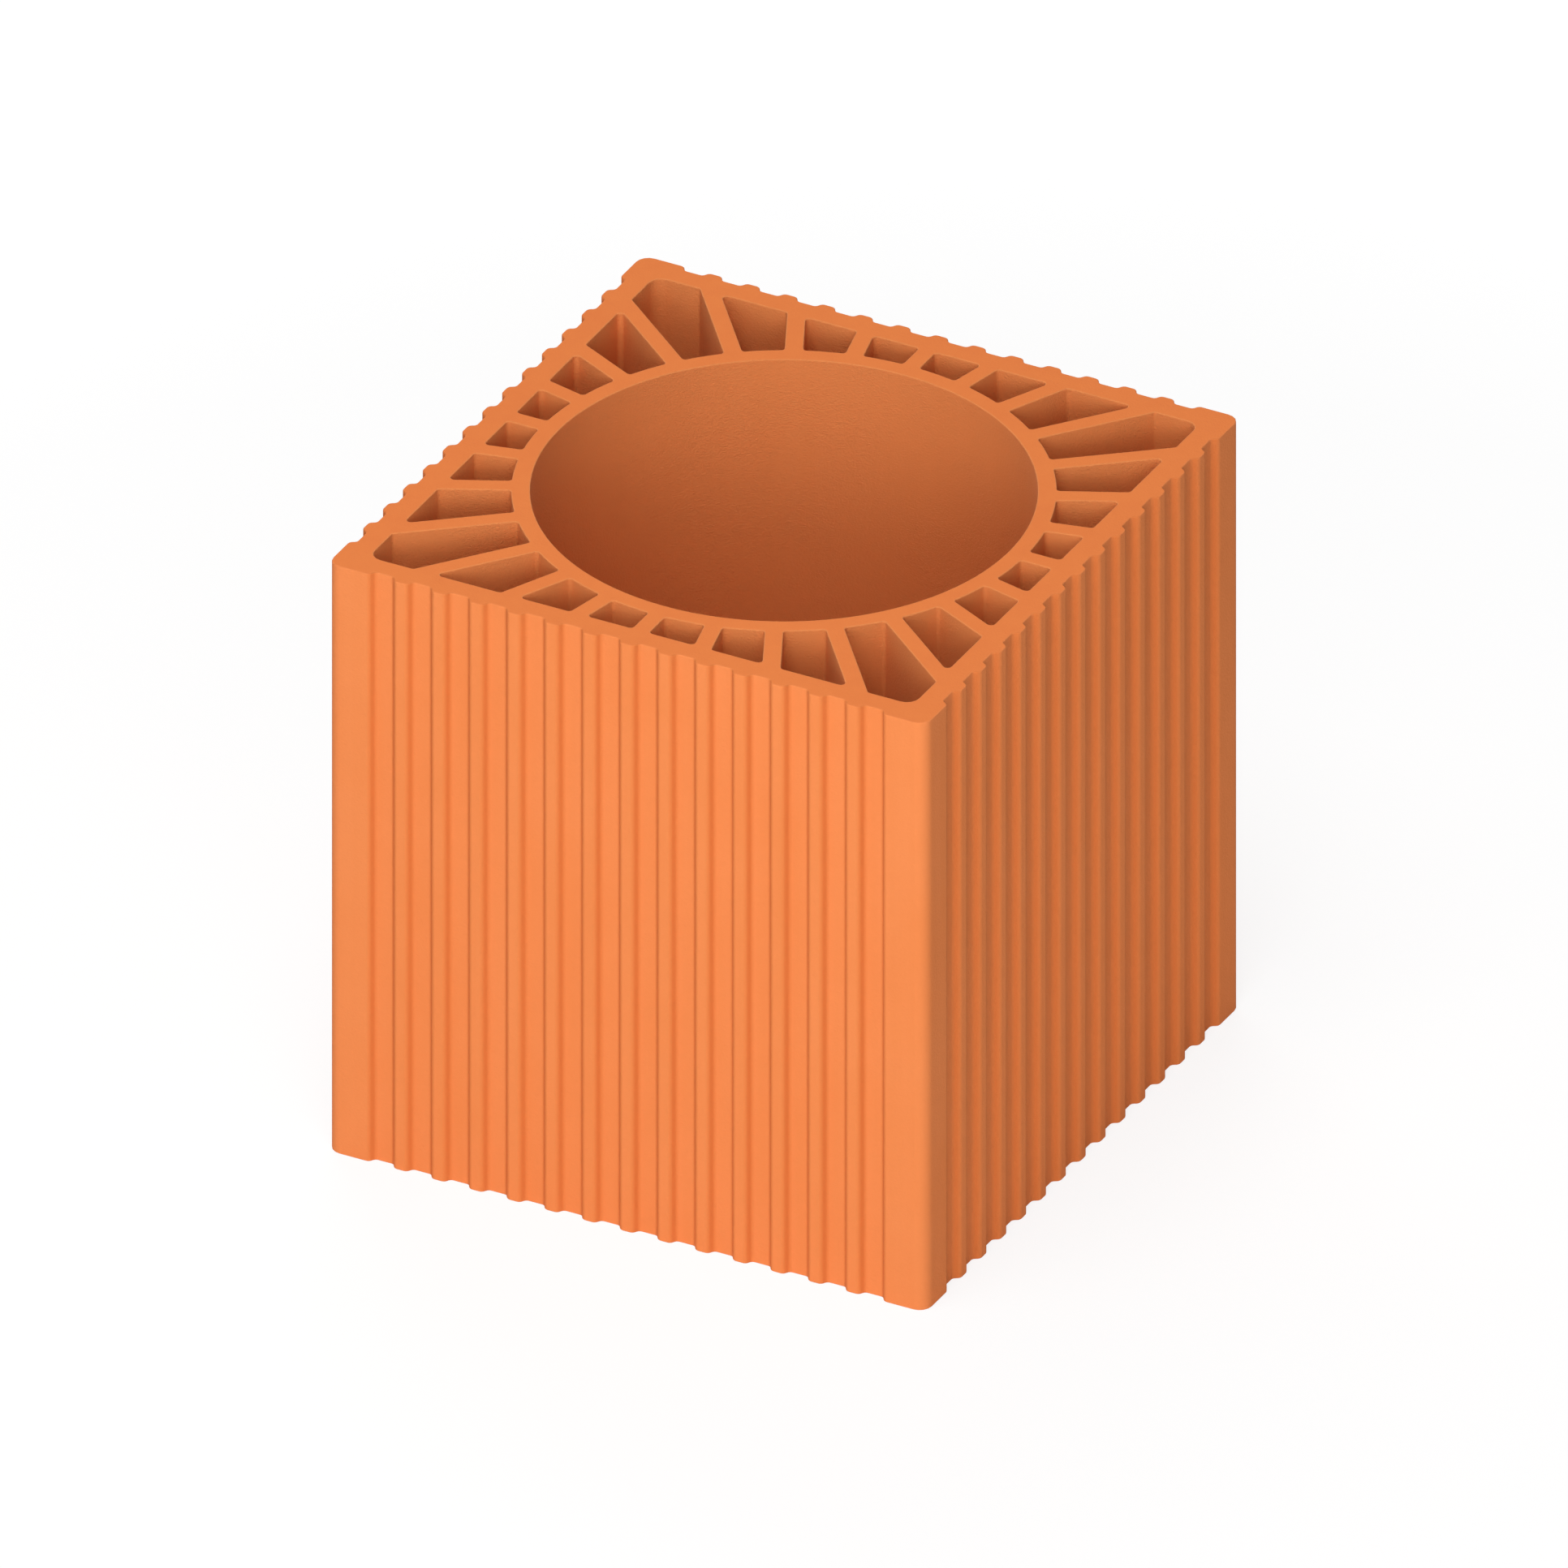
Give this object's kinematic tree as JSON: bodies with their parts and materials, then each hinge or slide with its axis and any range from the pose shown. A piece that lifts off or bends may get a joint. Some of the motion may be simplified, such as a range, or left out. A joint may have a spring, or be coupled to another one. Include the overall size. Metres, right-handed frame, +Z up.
{
  "type": "ventilation chimney block",
  "caption": "Square extruded clay chimney block with a round flue bore, radial hollow cells between bore and shell, and vertical keying ribs on all four sides.",
  "frame": {"origin": "centre of the flue bore on the lower bed face, which is the bottom centre of the box", "axes": "+Z up along the flue bore, as the block is laid; X and Y square to the ribbed sides"},
  "size_m": [0.24, 0.24, 0.243],
  "materials": {
    "fired_clay": "unglazed, matt"
  },
  "bodies": {
    "root": {"ventilation_block": "fired_clay"}
  },
  "joints": []
}
